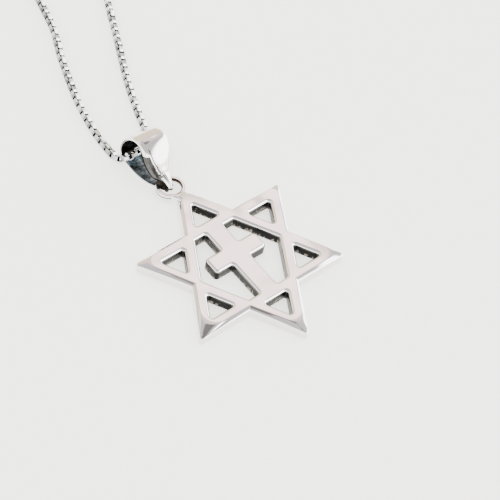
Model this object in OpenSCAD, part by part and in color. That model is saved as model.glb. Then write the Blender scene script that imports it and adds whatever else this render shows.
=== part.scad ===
// Six-pointed star pendant with a cross in its middle, lying face up on a surface
// with its bail and its box chain. Millimetres. The origin is the star's centre on
// its back face, +Y runs to the bail and +Z is out of the star's front face.

/* [Star] */
// From the centre to each long outer side
star_apothem = 6.6; // [5.5:0.1:9]
// Thickness of the star
star_thick = 1.7; // [1.5:0.05:3]
// Radius of the outer tips, seen from the front
tip_r = 0.3; // [0.1:0.05:0.6]
// Width of the polished bevel along the front edges
bevel_w = 0.32; // [0.1:0.02:0.6]
// Height of that bevel
bevel_h = 0.4; // [0.1:0.02:0.8]
// Length of the worn slope at each free tip
worn_run = 1.5; // [0.5:0.1:2.2]
// How far the slope drops at the end of the tip
worn_drop = 0.5; // [0.1:0.05:0.8]

/* [Openings] */
// Width of the band between the hexagonal opening and the sides of the triangles
hex_band = 1.32; // [0.8:0.02:2]
// Width of the band outside each small opening
side_band = 1.62; // [1:0.02:2]
// Width of the band between the hexagonal and the small openings
inner_band = 1.57; // [1:0.02:2.2]
// Corner radius of the small openings
hole_corner_r = 0.22; // [0.05:0.01:0.4]

/* [Cross] */
// Width of the upright bar
stem_w = 2.8; // [1.5:0.1:4]
// Width of the cross bar
bar_w = 2.52; // [1.2:0.02:3.5]
// Height of the cross bar's middle above the star's centre
bar_up = 1.09; // [0:0.01:2]
// Gap between the cross bar's top corners and the band beside them
bar_gap = 0.8; // [0.3:0.05:2]

/* [Eye] */
// Inner radius of the eye
eye_bore_r = 1.16; // [0.9:0.01:1.6]
// How much longer than round the eye is, to each side
eye_long = 0.26; // [0:0.02:0.5]
// Direction of the eye's long way, from +X
eye_turn = -33; // [-90:1:90]
// How far the eye's middle sits to the left of the star's middle line
eye_aside = 0.29; // [0:0.01:0.5]
// Width of the eye's wall, seen from the front
eye_wall = 0.5; // [0.3:0.05:0.8]
// Thickness of the eye
eye_thick = 0.6; // [0.3:0.05:1]
// Height of the eye's underside above the star's back face
eye_low = 0.5; // [0.4:0.02:0.8]
// From the sharp tip of the star to the middle of the eye
eye_beyond = 0.71; // [0.3:0.01:1]
// Width of the neck that joins the eye to the star
neck_w = 2; // [1:0.1:2.4]
// Thickness of that neck
neck_thick = 1.1; // [0.6:0.05:1.4]

/* [Bail] */
// From the eye's far wall to the inside of the bail's far end
bail_len = 6.45; // [5.5:0.05:9]
// Height of the inside of the bail
bail_rise = 5.65; // [4.5:0.05:8]
// Greatest width of the bail
bail_w = 4; // [3:0.1:6]
// Width of the bail's foot inside the eye
foot_w = 1; // [0.6:0.05:1.1]
// Wall of the back leg, which lies on the surface
back_wall = 0.38; // [0.25:0.01:0.6]
// Wall at the far bend
bend_wall = 0.28; // [0.2:0.01:0.5]
// Wall along the sides of the front leg
front_wall = 1.2; // [0.4:0.05:1.4]
// How much wider the front leg is at its inner side than at its face
front_flare = 0.2; // [0:0.02:0.4]
// Extra height of the front leg's face along its middle
front_dome = 0.14; // [0:0.02:0.3]
// Wall of the foot inside the eye
foot_wall = 0.42; // [0.3:0.02:0.5]
// Extra height of the front leg's rounded face over its sides
bail_crown = 0.34; // [0.1:0.02:0.6]
// Gap between the bail and the eye
eye_gap = 0.12; // [0.08:0.01:0.14]
// How far the bail has slipped to the left of the star's middle line
bail_slip = 0.4; // [0:0.05:0.5]

/* [Chain and clasp] */
// Width of the chain over its links
chain_w = 1; // [0.6:0.05:1.1]
// Radius of the clasp's round bar
clasp_bar_r = 0.55; // [0.45:0.05:0.8]
// Outer radius of the clasp's ring
clasp_r = 3; // [2.4:0.1:4]
// Radius of the bar of the clasp's two end eyelets
eyelet_bar_r = 0.25; // [0.2:0.05:0.35]
// Outer radius of those eyelets
eyelet_r = 0.9; // [0.8:0.05:1.2]

/* [Hidden] */
$fn = 64;
far = 60;
tip_reach = 2 * star_apothem;
hex_apothem = star_apothem - hex_band;
small_from = hex_apothem + inner_band;
small_apothem = (2 * (star_apothem - side_band) - small_from) / 3;
bar_top = bar_up + bar_w / 2;
bar_half = (2 * hex_apothem - bar_top) / sqrt(3) - bar_gap;
eye_y = tip_reach + eye_beyond;
eye_top = eye_low + eye_thick;
eye_out_r = eye_bore_r + eye_wall;
far_wall_y = eye_y + eye_bore_r + eye_wall / 2;
neck_from = tip_reach - 0.95 * neck_w;
neck_low = eye_low + eye_thick / 2 - neck_thick / 2;

// The bail's inner line, as rows that run from the eye out along the back leg, round the
// far bend and down the front leg. Places are shares of bail_len and bail_rise, widths
// are shares of bail_w, and walls and crowns are shares of the named walls and crown.
// Columns: place along, width
BACK_ROWS = [[0, 0.56], [0.2, 0.85], [0.478, 1], [0.795, 0.98]];
// Columns: place along, height, width, wall, crown
BEND_ROWS = [
    [0.944, 0.115, 0.94, 1.10, 0.2], [1.00, 0.30, 0.91, 1.00, 0.4], [0.957, 0.54, 0.90, 0.95, 0.55],
    [0.831, 0.78, 0.92, 1.05, 0.65], [0.673, 0.945, 0.95, 1.20, 0.7], [0.504, 1.00, 0.97, 1.70, 0.9]];
// Columns: place along, height, width, wall, crown, share of the flare and the dome
FRONT_ROWS = [
    [0.384, 0.883, 0.95, 0.76, 0.95, 0.5], [0.307, 0.685, 0.90, 1.00, 1.0, 1.0],
    [0.198, 0.471, 0.78, 1.00, 1.0, 1.0], [0.074, 0.29, 0.60, 0.95, 0.9, 0.6]];

// The chain's two routes, from the inside of the bail round to the clasp.
// Columns: x, y, height of the chain's underside above the surface
LEFT_ROUTE = [
    [-0.45, 20.75, 0.5], [-2.2, 20.75, 0.5], [-3.1, 21.5, 0.33], [-3.15, 23.2, 0.06], [-2.87, 26.5, 0],
    [-1.67, 32, 0], [0.68, 38.8, 0], [3.33, 45.4, 0], [5, 56, 0], [1, 66, 0], [-9, 79, 0], [-18, 94, 0],
    [-24, 112, 0], [-24, 131, 0], [-17, 150, 0], [-4, 167, 0], [13, 180, 0], [27, 185.5, 0]];
RIGHT_ROUTE = [
    [-0.35, 20.75, 0.5], [1.4, 20.75, 0.5], [2.2, 21.5, 0.33], [2.75, 23, 0.06], [3.8, 26.2, 0],
    [5.7, 31, 0], [9.1, 38, 0], [12.5, 45, 0], [17, 52.5, 0], [27, 59, 0], [42, 65, 0], [58, 72.5, 0],
    [73, 83, 0], [86, 99, 0], [92, 117, 0], [91, 136, 0], [84, 155, 0], [70, 172.5, 0], [55, 183, 0]];
clasp_at = [42, 186.5];
clasp_gap = 0.1;
eyelet_at = clasp_r - 0.1 + eyelet_r - eyelet_bar_r;
chain_end = eyelet_at + eyelet_r + clasp_gap;

function dir(angle) = [cos(angle), sin(angle)];

// Curve through points: the place at share t between p1 and p2
function blend(p0, p1, p2, p3, t) =
    0.5 * (2 * p1 + (p2 - p0) * t + (2 * p0 - 5 * p1 + 4 * p2 - p3) * t * t + (3 * p1 - p0 - 3 * p2 + p3) * t * t * t);

// Closed and open curves through rows of numbers, with steps places for each row
function closed_curve(rows, steps) = [
    for (i = [0 : len(rows) - 1]) for (j = [0 : steps - 1])
        let (n = len(rows))
        blend(rows[(i + n - 1) % n], rows[i], rows[(i + 1) % n], rows[(i + 2) % n], j / steps)];
function open_curve(rows, steps) =
    let (n = len(rows), long = concat([2 * rows[0] - rows[1]], rows, [2 * rows[n - 1] - rows[n - 2]]))
    [for (i = [1 : n - 1]) for (j = [0 : i == n - 1 ? steps : steps - 1])
        blend(long[i - 1], long[i], long[i + 1], long[i + 2], j / steps)];

// Two triangles for each square between neighbouring rings of points
function ring_faces(rings, points, closed) = [
    for (i = [0 : closed ? rings - 1 : rings - 2]) for (j = [0 : points - 1])
        let (a = i * points + j, b = i * points + (j + 1) % points,
             c = ((i + 1) % rings) * points + (j + 1) % points, d = ((i + 1) % rings) * points + j)
        each [[a, b, c], [a, c, d]]];

// Triangle of the given apothem with round corners, one of them at angle turn
module round_triangle(apothem, corner_r, turn) {
    polygon([for (i = [0 : 2]) for (side = [-60, 60])
        let (a = turn + 120 * i) 2 * (apothem - corner_r) * dir(a) + corner_r * dir(a + side)]);
    for (i = [0 : 2])
        translate(2 * (apothem - corner_r) * dir(turn + 120 * i)) circle(r = corner_r);
}

// Slope that cuts the front edge down by drop over run, facing angle turn
module edge_cut(reach, run, drop, turn) {
    rotate([0, 0, turn])
        translate([reach - run, 0, star_thick])
            rotate([0, atan(drop / run), 0])
                translate([0, -far / 2, 0]) cube([far, far, far]);
}

// One of the star's two triangles, with its bevel
module long_triangle(turn) {
    difference() {
        linear_extrude(height = star_thick) round_triangle(star_apothem, tip_r, turn);
        for (i = [0 : 2]) edge_cut(star_apothem, bevel_w, bevel_h, turn + 60 + 120 * i);
    }
}

module small_opening(turn) {
    rotate([0, 0, turn])
        translate([small_from + small_apothem, 0, -1])
            linear_extrude(height = star_thick + 2) round_triangle(small_apothem, hole_corner_r, 0);
}

module hexagon_opening() {
    translate([0, 0, -1])
        linear_extrude(height = star_thick + 2)
            polygon([for (i = [0 : 5]) hex_apothem / cos(30) * dir(60 * i)]);
}

module cross() {
    translate([-stem_w / 2, -hex_apothem - hex_band / 2, 0])
        cube([stem_w, 2 * hex_apothem + hex_band, star_thick]);
    translate([-bar_half, bar_top - bar_w, 0]) cube([2 * bar_half, bar_w, star_thick]);
}

// Long round shape of the eye
module eye_shape(r) {
    translate([-eye_aside, eye_y]) {
        for (side = [-1, 1]) translate(side * eye_long * dir(eye_turn)) circle(r = r);
        rotate([0, 0, eye_turn]) square([2 * eye_long, 2 * r], center = true);
    }
}

module eye() {
    translate([0, 0, eye_low]) linear_extrude(height = eye_thick) eye_shape(eye_out_r);
    translate([0, 0, neck_low])
        linear_extrude(height = neck_thick)
            polygon([[-0.55 * neck_w, neck_from], [0.55 * neck_w, neck_from],
                     [neck_w / 2, eye_y - eye_bore_r], [-neck_w / 2, eye_y - eye_bore_r]]);
}

module star() {
    color([0.86, 0.85, 0.86])
        difference() {
            union() {
                difference() {
                    union() {
                        long_triangle(90);
                        long_triangle(-90);
                    }
                    hexagon_opening();
                    for (i = [0 : 5]) small_opening(90 + 60 * i);
                    for (i = [1 : 5]) edge_cut(tip_reach - tip_r, worn_run, worn_drop, 90 + 60 * i);
                }
                cross();
                eye();
            }
            translate([0, 0, -1]) linear_extrude(height = star_thick + 2) eye_shape(eye_bore_r);
        }
}

// Sections of the bail: y and z of its inner line, half width, wall, crown, share of flare and dome
under_z = eye_low - eye_gap;
foot_sections = [
    [far_wall_y - 0.6, eye_top + 3 * eye_gap, 0.58 * foot_w, 1.48 * foot_wall, 0.6 * bail_crown, 0.5],
    [eye_y + 0.1 * eye_bore_r, eye_low + 0.62 * eye_thick, 0.38 * foot_w, 1.33 * foot_wall, 0.2 * bail_crown, 1],
    [eye_y + 0.42 * eye_bore_r, under_z, 0.7 * foot_w, under_z - 0.03, 0, 0]];
back_sections = [for (r = BACK_ROWS)
    [far_wall_y + r[0] * bail_len, back_wall, r[1] * bail_w / 2, back_wall, 0, 0]];
bend_sections = [for (r = BEND_ROWS)
    [far_wall_y + r[0] * bail_len, r[1] * bail_rise, r[2] * bail_w / 2, r[3] * bend_wall, r[4] * bail_crown, 0]];
front_sections = [for (r = FRONT_ROWS)
    [far_wall_y + r[0] * bail_len, r[1] * bail_rise, r[2] * bail_w / 2, r[3] * front_wall, r[4] * bail_crown, r[5]]];

// Places across the bail, as shares of its half width, and how much of the crown is there
ACROSS = [-1, -0.88, -0.72, -0.4, 0, 0.4, 0.72, 0.88, 1];
function crown_share(u) = 1 - 0.5 * u * u - 0.5 * pow(max(0, abs(u) - 0.72) / 0.28, 2);

module bail() {
    sections = closed_curve(concat(back_sections, bend_sections, front_sections, foot_sections), 3);
    n = len(sections);
    points = [for (i = [0 : n - 1])
        let (s = sections[i], ahead = sections[(i + 2) % n] - sections[(i + n - 2) % n],
             out = [ahead[1], -ahead[0]] / norm([ahead[0], ahead[1]]))
        each concat(
            [for (u = ACROSS) [u * (s[2] + s[5] * front_flare) - bail_slip, s[0], s[1]]],
            [for (k = [len(ACROSS) - 1 : -1 : 0])
                let (u = ACROSS[k], wall = s[3] + s[4] * crown_share(u) + s[5] * front_dome * (1 - u * u))
                [u * s[2] - bail_slip, s[0] + out[0] * wall, s[1] + out[1] * wall]])];
    color([0.8, 0.79, 0.78])
        polyhedron(points = points, faces = ring_faces(n, 2 * len(ACROSS), true), convexity = 6);
}

// Round bar swept along a route, with eight sides
module chain_half(route) {
    sides = 8;
    path = open_curve([for (p = route) [p[0], p[1], p[2] + chain_w / 2]], 2);
    n = len(path);
    points = [for (i = [0 : n - 1])
        let (ahead = path[min(i + 1, n - 1)] - path[max(i - 1, 0)],
             side = cross(ahead, [0, 0, 1]) / norm(cross(ahead, [0, 0, 1])),
             up = cross(side, ahead) / norm(ahead))
        for (k = [0 : sides - 1])
            let (d = dir((k + 0.5) * 360 / sides) * chain_w / 2 / cos(180 / sides))
            path[i] + side * d[0] + up * d[1]];
    caps = [[for (k = [sides - 1 : -1 : 0]) k], [for (k = [0 : sides - 1]) (n - 1) * sides + k]];
    color([0.7, 0.7, 0.7])
        polyhedron(points = points, faces = concat(caps, ring_faces(n, sides, false)), convexity = 6);
}

module chain_left() {
    chain_half(concat(LEFT_ROUTE, [[clasp_at[0] - chain_end, clasp_at[1], 0]]));
}

module chain_right() {
    chain_half(concat(RIGHT_ROUTE, [[clasp_at[0] + chain_end, clasp_at[1], 0]]));
}

module round_ring(outer_r, bar_r) {
    rotate_extrude() translate([outer_r - bar_r, 0]) circle(r = bar_r, $fn = 32);
}

module clasp() {
    color([0.75, 0.75, 0.75]) {
        translate([clasp_at[0], clasp_at[1], clasp_bar_r]) round_ring(clasp_r, clasp_bar_r);
        for (side = [-1, 1])
            translate([clasp_at[0] + side * eyelet_at, clasp_at[1], chain_w / 2])
                round_ring(eyelet_r, eyelet_bar_r);
    }
}

star();
bail();
chain_left();
chain_right();
clasp();
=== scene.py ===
"""Star pendant on its box chain, lying face up on a pale table.

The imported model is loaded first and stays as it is. Each finish is a class, and so is
each sub-assembly that is built over the model: the star, the bail, half of the chain and
the clasp. The studio holds the table, the surroundings and the camera. Lengths are in
millimetres unless a comment says metres, and MM turns them into metres.
"""

from __future__ import annotations

import logging
import math
from abc import ABC, abstractmethod
from dataclasses import dataclass
from enum import Enum
from typing import Iterable, Sequence

import bmesh
import bpy
from mathutils import Matrix, Vector


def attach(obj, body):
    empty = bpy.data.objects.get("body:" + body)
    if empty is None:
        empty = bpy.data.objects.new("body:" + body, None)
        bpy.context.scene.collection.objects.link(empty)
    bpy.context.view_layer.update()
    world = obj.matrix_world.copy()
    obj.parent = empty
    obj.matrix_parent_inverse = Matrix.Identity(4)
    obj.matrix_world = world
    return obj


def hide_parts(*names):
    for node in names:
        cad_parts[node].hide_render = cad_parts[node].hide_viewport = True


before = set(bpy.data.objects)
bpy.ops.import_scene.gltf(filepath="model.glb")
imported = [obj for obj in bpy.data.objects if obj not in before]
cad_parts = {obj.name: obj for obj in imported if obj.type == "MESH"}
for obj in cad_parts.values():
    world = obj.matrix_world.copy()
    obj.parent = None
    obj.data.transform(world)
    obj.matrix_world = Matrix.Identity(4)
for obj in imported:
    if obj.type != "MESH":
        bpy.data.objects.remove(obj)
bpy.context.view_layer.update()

MM = 0.001
BODY = "root"
MERGE_WITHIN = 1e-5
FLAT_FACE = 0.9999
Color = tuple[float, float, float]
Direction = tuple[float, float, float]
Place = tuple[float, float, float]
Pair = tuple[float, float]
log = logging.getLogger("pendant")


class Half(Enum):
    """The two halves of the chain, with the side of the bail that each leaves on."""

    LEFT = -1
    RIGHT = 1


class Surface(Enum):
    """Material slots of a silver piece. The star has the first three and the bail has all."""

    BRIGHT = 0
    DARK = 1
    # On the star: the eye's dark oxide, with painted shade under its ring. On the bail: its brushed grey.
    MUTED = 2
    SHADED = 3
    # Flat black lines: painted shade with some oxide at the inner edges of the bail's sides, and a painted
    # dark reflection along its crease
    BLACK = 4
    # Painted light: a lit copy of the shaded brown inside
    LIT_BROWN = 5


def polar(degrees: float, radius: float) -> Vector:
    """Point in the star's plane at an angle from +X.

    Args:
        degrees: angle from +X, counter-clockwise.
        radius: distance from the star's centre.

    Returns:
        The point as a 2-D vector.
    """
    turn = math.radians(degrees)
    return Vector((math.cos(turn), math.sin(turn))) * radius


def smooth_share(value: float, low: float, high: float) -> float:
    """Share from 0 to 1 that rises smoothly while value goes from low to high."""
    share = min(1.0, max(0.0, (value - low) / (high - low)))
    return share * share * (3 - 2 * share)


def soft_square(steps: int, power: float) -> list[Pair]:
    """Square of half width 1 with softly rounded corners.

    Args:
        steps: how many places it has.
        power: 2 for a circle, and more for tighter corners.

    Returns:
        The places, as shares across and up.
    """
    places = []
    for step in range(steps):
        across, up = polar(360 * step / steps, 1.0)
        reach = (abs(across) ** power + abs(up) ** power) ** (-1 / power)
        places.append((across * reach, up * reach))
    return places


def curve_point(p0: Vector, p1: Vector, p2: Vector, p3: Vector, t: float) -> Vector:
    """Point between p1 and p2 on the smooth curve through four points.

    Args:
        p0: the point before.
        p1: where the stretch starts.
        p2: where the stretch ends.
        p3: the point after.
        t: share of the stretch.

    Returns:
        The point on the curve.
    """
    cubic = 3 * p1 - p0 - 3 * p2 + p3
    square = 2 * p0 - 5 * p1 + 4 * p2 - p3
    return 0.5 * (2 * p1 + (p2 - p0) * t + square * t**2 + cubic * t**3)


def open_curve(points: Sequence[Vector], steps: int) -> list[Vector]:
    """Smooth curve through all points.

    Args:
        points: the points that it passes through.
        steps: how many places it has from one point to the next.

    Returns:
        The places, from the first point to the last.
    """
    row = [2 * points[0] - points[1], *points, 2 * points[-1] - points[-2]]
    path = [
        curve_point(*row[i : i + 4], step / steps)
        for i in range(len(points) - 1)
        for step in range(steps)
    ]
    return [*path, points[-1].copy()]


def closed_curve(points: Sequence[Vector], steps: int) -> list[Vector]:
    """Smooth closed curve through all points.

    Args:
        points: the points that it passes through.
        steps: how many places it has from one point to the next.

    Returns:
        The places, starting at the first point.
    """
    n = len(points)
    return [
        curve_point(*(points[(i + k - 1) % n] for k in range(4)), step / steps)
        for i in range(n)
        for step in range(steps)
    ]


def new_object(
    name: str, mesh: bpy.types.Mesh, materials: Iterable[bpy.types.Material]
) -> bpy.types.Object:
    """Puts a mesh into the scene as an object at the origin.

    Args:
        name: the piece's name.
        mesh: its mesh, in metres and in place.
        materials: its finishes, in the order of its slots.

    Returns:
        The new object.
    """
    piece = bpy.data.objects.new(name, mesh)
    bpy.context.scene.collection.objects.link(piece)
    for material in materials:
        piece.data.materials.append(material)
    return piece


def mesh_from(bm: bmesh.types.BMesh, name: str) -> bpy.types.Mesh:
    """Turns the faces outwards, scales millimetres to metres and makes a mesh.

    Args:
        bm: the shape in millimetres, which is freed.
        name: the mesh's name.

    Returns:
        The mesh.
    """
    bmesh.ops.remove_doubles(bm, verts=bm.verts, dist=MERGE_WITHIN)
    bmesh.ops.recalc_face_normals(bm, faces=bm.faces)
    bmesh.ops.scale(bm, vec=(MM, MM, MM), verts=bm.verts)
    mesh = bpy.data.meshes.new(name)
    bm.to_mesh(mesh)
    bm.free()
    return mesh


def skin(
    bm: bmesh.types.BMesh, rings: Sequence[Sequence[Sequence[float]]], closed: bool, capped: bool = False
) -> tuple[list[list[bmesh.types.BMVert]], list[bmesh.types.BMFace]]:
    """Sets rings of vertices and joins neighbouring rings with smooth squares.

    Args:
        bm: the mesh being built.
        rings: rings of points, with the same number of points each.
        closed: whether the last ring joins the first.
        capped: whether a flat face closes each end.

    Returns:
        The rings of vertices, and the squares between them.
    """
    made = [[bm.verts.new(point) for point in ring] for ring in rings]
    squares = []
    for i in range(len(made) if closed else len(made) - 1):
        here, there = made[i], made[(i + 1) % len(made)]
        for j in range(len(here)):
            k = (j + 1) % len(here)
            squares.append(bm.faces.new((here[j], here[k], there[k], there[j])))
    for face in squares:
        face.smooth = True
    if capped:
        bm.faces.new(made[0])
        bm.faces.new(made[-1])
    return made, squares


def combine(base: bpy.types.Object, tool: bpy.types.Object, operation: str) -> None:
    """Joins or cuts base with tool, keeps the result as base's mesh and deletes tool.

    Args:
        base: the piece that stays.
        tool: the closed piece that is added or taken away.
        operation: UNION or DIFFERENCE.
    """
    modifier = base.modifiers.new("combine", "BOOLEAN")
    modifier.operation = operation
    modifier.solver = "EXACT"
    modifier.object = tool
    evaluated = base.evaluated_get(bpy.context.evaluated_depsgraph_get())
    mesh = bpy.data.meshes.new_from_object(evaluated)
    base.modifiers.remove(modifier)
    old = base.data
    base.data = mesh
    bpy.data.meshes.remove(old)
    bpy.data.objects.remove(tool)


class NodeSheet:
    """A node tree under construction, with short calls to add and join nodes."""

    def __init__(self, tree: bpy.types.NodeTree) -> None:
        """Starts from an empty tree."""
        self.tree = tree
        tree.nodes.clear()

    def add(
        self, kind: str, settings: dict[str, object] | None = None, **inputs: object
    ) -> bpy.types.Node:
        """Adds a node and fills its inputs.

        Args:
            kind: the node's type name.
            settings: properties of the node itself.
            inputs: socket names, with spaces written as underscores, and what goes in:
                another node's output or a plain value.

        Returns:
            The new node.
        """
        node = self.tree.nodes.new(kind)
        for key, value in (settings or {}).items():
            setattr(node, key, value)
        for key, value in inputs.items():
            self.feed(node.inputs[key.replace("_", " ")], value)
        return node

    def feed(self, socket: bpy.types.NodeSocket, value: object) -> None:
        """Joins an output to a socket, or sets the socket to a plain value.

        Args:
            socket: the input.
            value: another node's output or a plain value.
        """
        if isinstance(value, bpy.types.NodeSocket):
            self.tree.links.new(value, socket)
        else:
            socket.default_value = value

    def math(self, operation: str, a: object, b: object = 0.0) -> bpy.types.NodeSocket:
        """Adds a math node.

        Args:
            operation: what it works out.
            a: its first value or another node's output.
            b: its second value or another node's output.

        Returns:
            Its result.
        """
        node = self.add("ShaderNodeMath", {"operation": operation})
        self.feed(node.inputs[0], a)
        self.feed(node.inputs[1], b)
        return node.outputs[0]

    def dot(self, a: object, b: object) -> bpy.types.NodeSocket:
        """Adds the dot product of two vectors.

        Args:
            a: a vector or another node's output.
            b: a vector or another node's output.

        Returns:
            The product.
        """
        node = self.add("ShaderNodeVectorMath", {"operation": "DOT_PRODUCT"})
        self.feed(node.inputs[0], a)
        self.feed(node.inputs[1], b)
        return node.outputs["Value"]

    def upward(self, vector: bpy.types.NodeSocket) -> bpy.types.NodeSocket:
        """The Z of a vector."""
        return self.add("ShaderNodeSeparateXYZ", Vector=vector).outputs["Z"]

    def place(self) -> bpy.types.NodeSocket:
        """The place on the piece, in metres."""
        return self.add("ShaderNodeTexCoord").outputs["Object"]

    def stretched(
        self, place: bpy.types.NodeSocket, scale: Direction, turn: float = 0.0
    ) -> bpy.types.NodeSocket:
        """Stretches and turns the places that a pattern follows.

        Args:
            place: the place on the piece.
            scale: how much finer the pattern gets along each axis.
            turn: turn about Z in radians.

        Returns:
            The moved place.
        """
        node = self.add("ShaderNodeMapping", Vector=place, Rotation=(0.0, 0.0, turn), Scale=scale)
        return node.outputs["Vector"]

    def clouds(
        self, place: bpy.types.NodeSocket, scale: float, detail: float, roughness: float = 0.5
    ) -> bpy.types.NodeSocket:
        """Adds a cloudy noise.

        Args:
            place: the place that it follows.
            scale: clouds for each metre.
            detail: how many finer sizes of cloud it has.
            roughness: how strong the finer ones are.

        Returns:
            The cloud's share, from 0 to 1.
        """
        node = self.add("ShaderNodeTexNoise", Vector=place, Scale=scale, Detail=detail, Roughness=roughness)
        return node.outputs["Fac"]

    def ramp(
        self, value: bpy.types.NodeSocket, turns: Pair, ends: Pair = (0.0, 1.0), soft: bool = False
    ) -> bpy.types.NodeSocket:
        """Adds a ramp that follows a value.

        Args:
            value: what it follows.
            turns: the two values between which it rises.
            ends: what it gives at them and beyond.
            soft: whether it starts and ends smoothly.

        Returns:
            The ramp's result.
        """
        node = self.add(
            "ShaderNodeMapRange",
            {"interpolation_type": "SMOOTHSTEP" if soft else "LINEAR"},
            Value=value,
            From_Min=turns[0],
            From_Max=turns[1],
            To_Min=ends[0],
            To_Max=ends[1],
        )
        return node.outputs["Result"]

    def mix(self, share: object, first: object, second: object) -> bpy.types.NodeSocket:
        """Adds a colour between two colours.

        Args:
            share: share of the second colour.
            first: a colour or another node's output.
            second: a colour or another node's output.

        Returns:
            The mixed colour.
        """
        node = self.add("ShaderNodeMix", {"data_type": "RGBA"})
        for name, value in (("Factor", share), (6, first), (7, second)):
            self.feed(node.inputs[name], (*value, 1.0) if isinstance(value, tuple) else value)
        return node.outputs[2]

    def bump(
        self, height: object, strength: float, depth: float, under: object | None = None
    ) -> bpy.types.NodeSocket:
        """Adds a fine relief.

        Args:
            height: the share that it follows.
            strength: how much of it shows.
            depth: its depth in millimetres.
            under: the normal of a relief below it.

        Returns:
            The normal on the relief.
        """
        node = self.add("ShaderNodeBump", Height=height, Strength=strength, Distance=depth * MM)
        if under is not None:
            self.feed(node.inputs["Normal"], under)
        return node.outputs["Normal"]

    def surface(self, **inputs: object) -> None:
        """Adds the shader with its inputs, as add takes them, and joins it to the output."""
        shader = self.add("ShaderNodeBsdfPrincipled", None, **inputs)
        self.add("ShaderNodeOutputMaterial", Surface=shader.outputs["BSDF"])


@dataclass(frozen=True)
class Finish(ABC):
    """A finish with its name. Each kind below fills in its own nodes.

    A scale is how many clouds a metre holds, and a depth is in millimetres.
    """

    name: str

    @abstractmethod
    def fill(self, sheet: NodeSheet) -> None:
        """Adds the finish's nodes to an empty sheet, and joins them to the output."""

    def material(self) -> bpy.types.Material:
        """Builds the finish.

        Returns:
            The new material.
        """
        material = bpy.data.materials.new(self.name)
        material.use_nodes = True
        self.fill(NodeSheet(material.node_tree))
        return material


@dataclass(frozen=True)
class PolishedSilver(Finish):
    """Bright silver with the soft haze and fine scratches of hand polishing, and painted shade that can
    darken its upright faces.
    """

    name: str = "polished_silver"
    light: Color = (0.93, 0.905, 0.91)
    tarnish: Color = (0.84, 0.81, 0.8)
    roughness: Pair = (0.05, 0.12)
    haze_turns: Pair = (0.3, 0.7)
    cloud_scale: float = 260.0
    cloud_detail: float = 4.0
    scratch_scale: float = 2600.0
    scratch_detail: float = 3.0
    scratch_shape: Direction = (1.0, 9.0, 1.0)
    scratch_turn: float = 0.6
    scratch_strength: float = 0.012
    scratch_depth: float = 0.02
    wave_scale: float = 170.0
    wave_detail: float = 1.0
    wave_depth: float = 0.2
    # Painted shade: upright faces keep only this share of their colour
    side_shade_share: float = 1.0
    side_turns: Pair = (0.25, 0.8)

    def fill(self, sheet: NodeSheet) -> None:
        """Adds the clouds of tarnish, painted shade on the upright sides, the waves and the scratches.

        Args:
            sheet: the empty sheet.
        """
        place = sheet.place()
        cloud = sheet.clouds(place, self.cloud_scale, self.cloud_detail)
        normal = sheet.add("ShaderNodeNewGeometry").outputs["Normal"]
        facing_up = sheet.math("ABSOLUTE", sheet.upward(normal))
        # The colour: tarnish clouds, darkened on upright faces by painted shade
        worn = sheet.add(
            "ShaderNodeVectorMath",
            {"operation": "SCALE"},
            Scale=sheet.ramp(facing_up, self.side_turns, (self.side_shade_share, 1.0)),
        )
        sheet.feed(worn.inputs[0], sheet.mix(cloud, self.tarnish, self.light))
        wave = sheet.clouds(place, self.wave_scale, self.wave_detail)
        hollow = sheet.bump(wave, 1.0, self.wave_depth)
        along = sheet.stretched(place, self.scratch_shape, self.scratch_turn)
        scratch = sheet.clouds(along, self.scratch_scale, self.scratch_detail)
        sheet.surface(
            Base_Color=worn.outputs["Vector"],
            Roughness=sheet.ramp(cloud, self.haze_turns, self.roughness),
            Normal=sheet.bump(scratch, self.scratch_strength, self.scratch_depth, hollow),
            Metallic=1.0,
        )


@dataclass(frozen=True)
class OpeningSilver(Finish):
    """Walls of the pierced openings: blackened, and rubbed pale in streaks and up at the rim."""

    name: str = "opening_silver"
    black: Color = (0.004, 0.004, 0.005)
    pale: Color = (0.2, 0.17, 0.14)
    rim: Color = (0.34, 0.31, 0.27)
    rim_height: Pair = (1.24, 1.5)
    rubbed_height: float = 0.4
    fade: float = 0.7
    streak_scale: float = 2200.0
    streak_detail: float = 4.0
    streak_roughness: float = 0.6
    streak_shape: Direction = (1.0, 1.0, 0.4)
    streak_share: float = 3.4
    streak_turns: Pair = (0.0, 0.8)
    roughness: float = 0.3
    relief: float = 0.25
    relief_depth: float = 0.03

    def fill(self, sheet: NodeSheet) -> None:
        """Adds the black walls, their pale streaks and the pale rim.

        Args:
            sheet: the empty sheet.
        """
        place = sheet.place()
        along = sheet.stretched(place, self.streak_shape)
        streak = sheet.clouds(along, self.streak_scale, self.streak_detail, self.streak_roughness)
        height = sheet.math("DIVIDE", sheet.upward(place), MM)
        below = sheet.math("DIVIDE", sheet.math("SUBTRACT", self.rubbed_height, height), self.fade)
        wander = sheet.math("MULTIPLY", sheet.math("SUBTRACT", streak, 0.5), 2 * self.streak_share)
        rubbed = sheet.ramp(sheet.math("ADD", below, wander), self.streak_turns)
        tone = sheet.mix(rubbed, self.black, self.pale)
        sheet.surface(
            Base_Color=sheet.mix(sheet.ramp(height, self.rim_height), tone, self.rim),
            Roughness=self.roughness,
            Normal=sheet.bump(streak, self.relief, self.relief_depth),
            Metallic=1.0,
        )


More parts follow.
